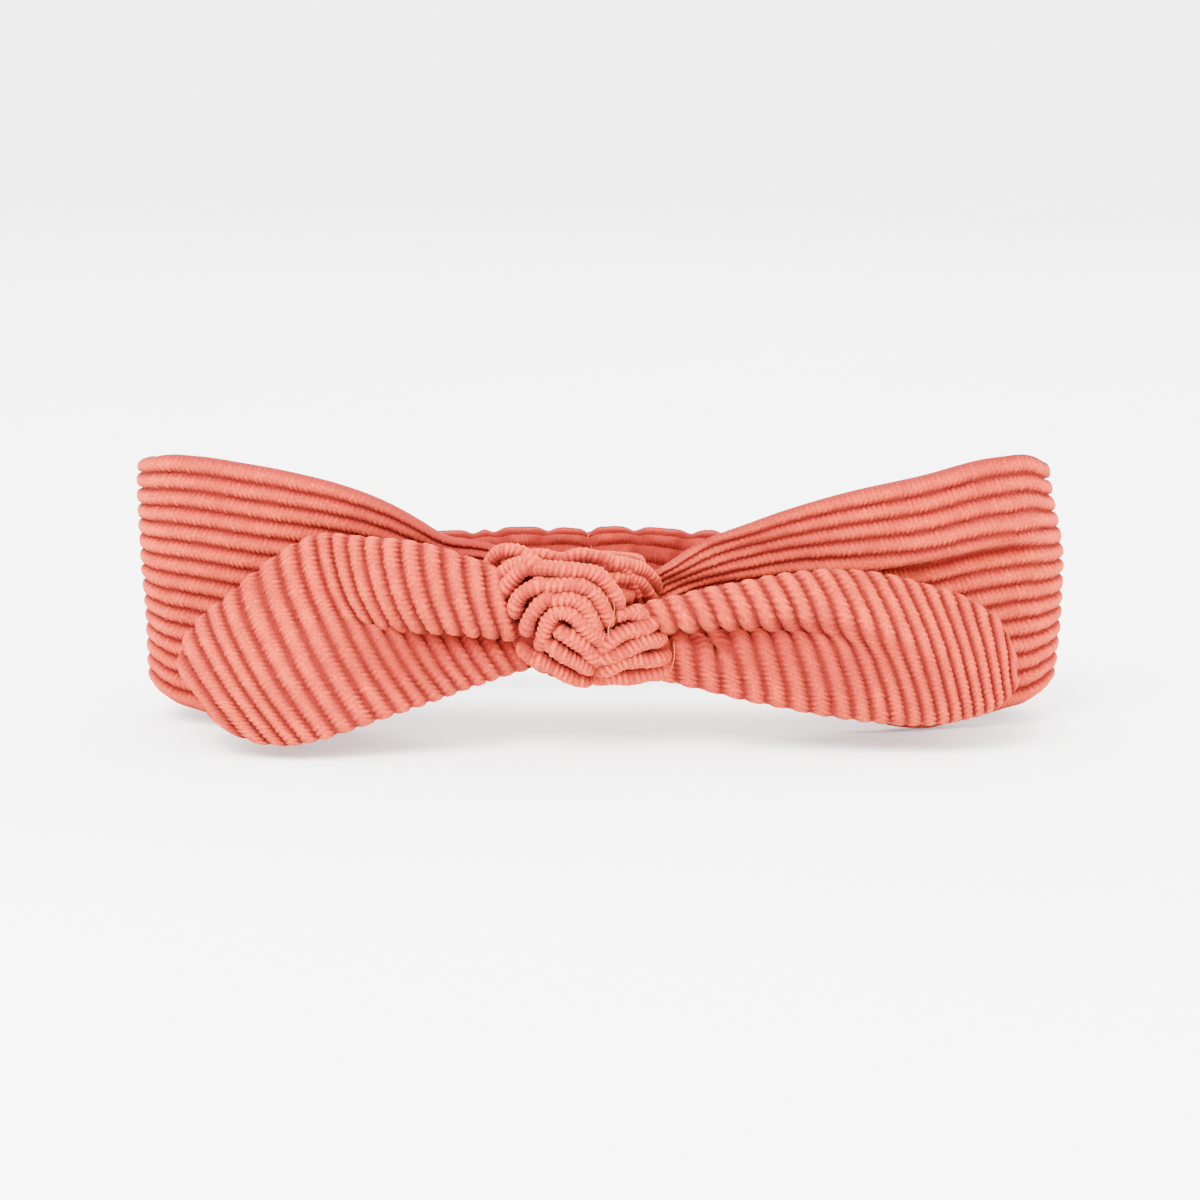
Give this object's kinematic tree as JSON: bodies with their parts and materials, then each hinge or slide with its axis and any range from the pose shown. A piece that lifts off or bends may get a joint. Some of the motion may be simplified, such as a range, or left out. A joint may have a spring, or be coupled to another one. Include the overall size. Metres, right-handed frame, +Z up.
{
  "type": "spa headband",
  "caption": "Soft wide headband of ribbed plush fabric, gathered at the front by a knotted tie with leaf-shaped tails, with a gathered elastic casing at the back.",
  "frame": {"origin": "centre of the box at the level of the lower hem that it stands on", "axes": "+Z up from the hem to the upper edge, +X across the loop towards the wearer's left side, the knot faces -Y"},
  "size_m": [0.221, 0.0718, 0.0653],
  "materials": {
    "rib_velour": "wide ribbed velour, coral, matt with a soft sheen on the pile",
    "elastic_webbing": "woven elastic webbing, off-white",
    "sewing_thread": "spun polyester sewing thread, orange coral"
  },
  "bodies": {
    "knot": {"gathered_waist": "rib_velour", "knot_wrap": "rib_velour", "knot_core": "rib_velour", "knot_strand": "rib_velour", "knot_tacking_thread": "sewing_thread", "left_casing": "rib_velour", "right_casing": "rib_velour", "elastic": "elastic_webbing", "back_seam_thread": "sewing_thread"},
    "left_side": {"left_outer_panel": "rib_velour", "left_lining": "rib_velour", "left_top_seam_thread": "sewing_thread", "left_hem_seam_thread": "sewing_thread", "left_end_seam_thread": "sewing_thread"},
    "right_side": {"right_outer_panel": "rib_velour", "right_lining": "rib_velour", "right_top_seam_thread": "sewing_thread", "right_hem_seam_thread": "sewing_thread", "right_end_seam_thread": "sewing_thread"},
    "left_tail": {"left_tail_front": "rib_velour", "left_tail_back": "rib_velour", "left_tail_seam_thread": "sewing_thread"},
    "right_tail": {"right_tail_front": "rib_velour", "right_tail_back": "rib_velour", "right_tail_seam_thread": "sewing_thread"}
  },
  "joints": [
    {"name": "left_stretch", "type": "slide", "parent": "knot", "child": "left_side", "axis": [-1, 0, 0], "range_m": [0, 0.018], "stiffness_N_per_m": 220, "deforming": ["left_casing", "elastic"]},
    {"name": "right_stretch", "type": "slide", "parent": "knot", "child": "right_side", "axis": [1, 0, 0], "range_m": [0, 0.018], "stiffness_N_per_m": 220, "deforming": ["right_casing"]},
    {"name": "left_tail_lift", "type": "hinge", "parent": "knot", "child": "left_tail", "pos_m": [-0.0268, -0.02757, 0.0327], "axis": [0, 0, 1], "range_deg": [0, 90]},
    {"name": "right_tail_lift", "type": "hinge", "parent": "knot", "child": "right_tail", "pos_m": [0.0177, -0.02757, 0.0262], "axis": [0, 0, -1], "range_deg": [0, 90]}
  ],
  "couplings": [
    {"joint": "left_stretch", "follows": "right_stretch", "ratio": 1}
  ]
}
